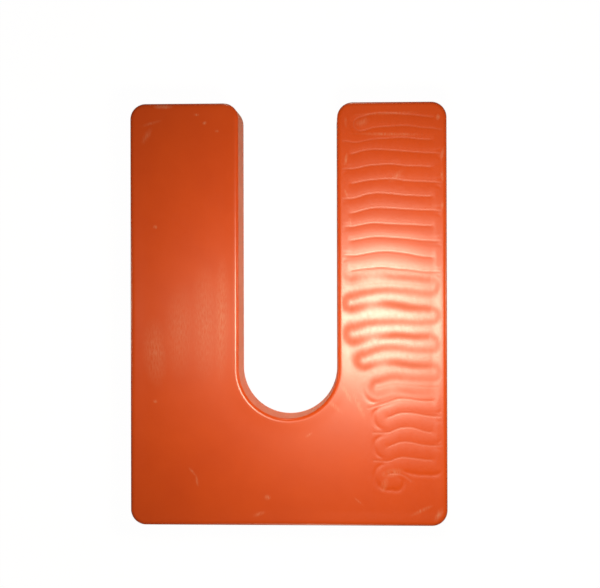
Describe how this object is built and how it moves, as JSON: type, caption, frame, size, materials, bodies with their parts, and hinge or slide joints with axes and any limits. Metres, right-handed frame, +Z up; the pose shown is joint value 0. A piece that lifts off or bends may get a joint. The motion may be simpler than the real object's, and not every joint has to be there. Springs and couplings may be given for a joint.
{
  "type": "horseshoe shim",
  "caption": "Flat U-shaped shim plate in orange moulded plastic, with an open round-ended slot that slides around a bolt, and level upper and lower bearing faces.",
  "frame": {"origin": "centre of the lower bearing face's outline, which is also the centre of the plate's footprint", "axes": "+Z up through the thickness, from the lower bearing face to the upper one; +Y from the solid heel towards the open ends of the legs; +X across the legs"},
  "size_m": [0.0768, 0.1022, 0.0127],
  "materials": {
    "shim_plastic": "semi-gloss injection-moulded orange plastic, lightly scuffed, with a faint wandering flow mark on one leg"
  },
  "bodies": {
    "root": {"shim_plate": "shim_plastic"}
  },
  "joints": []
}
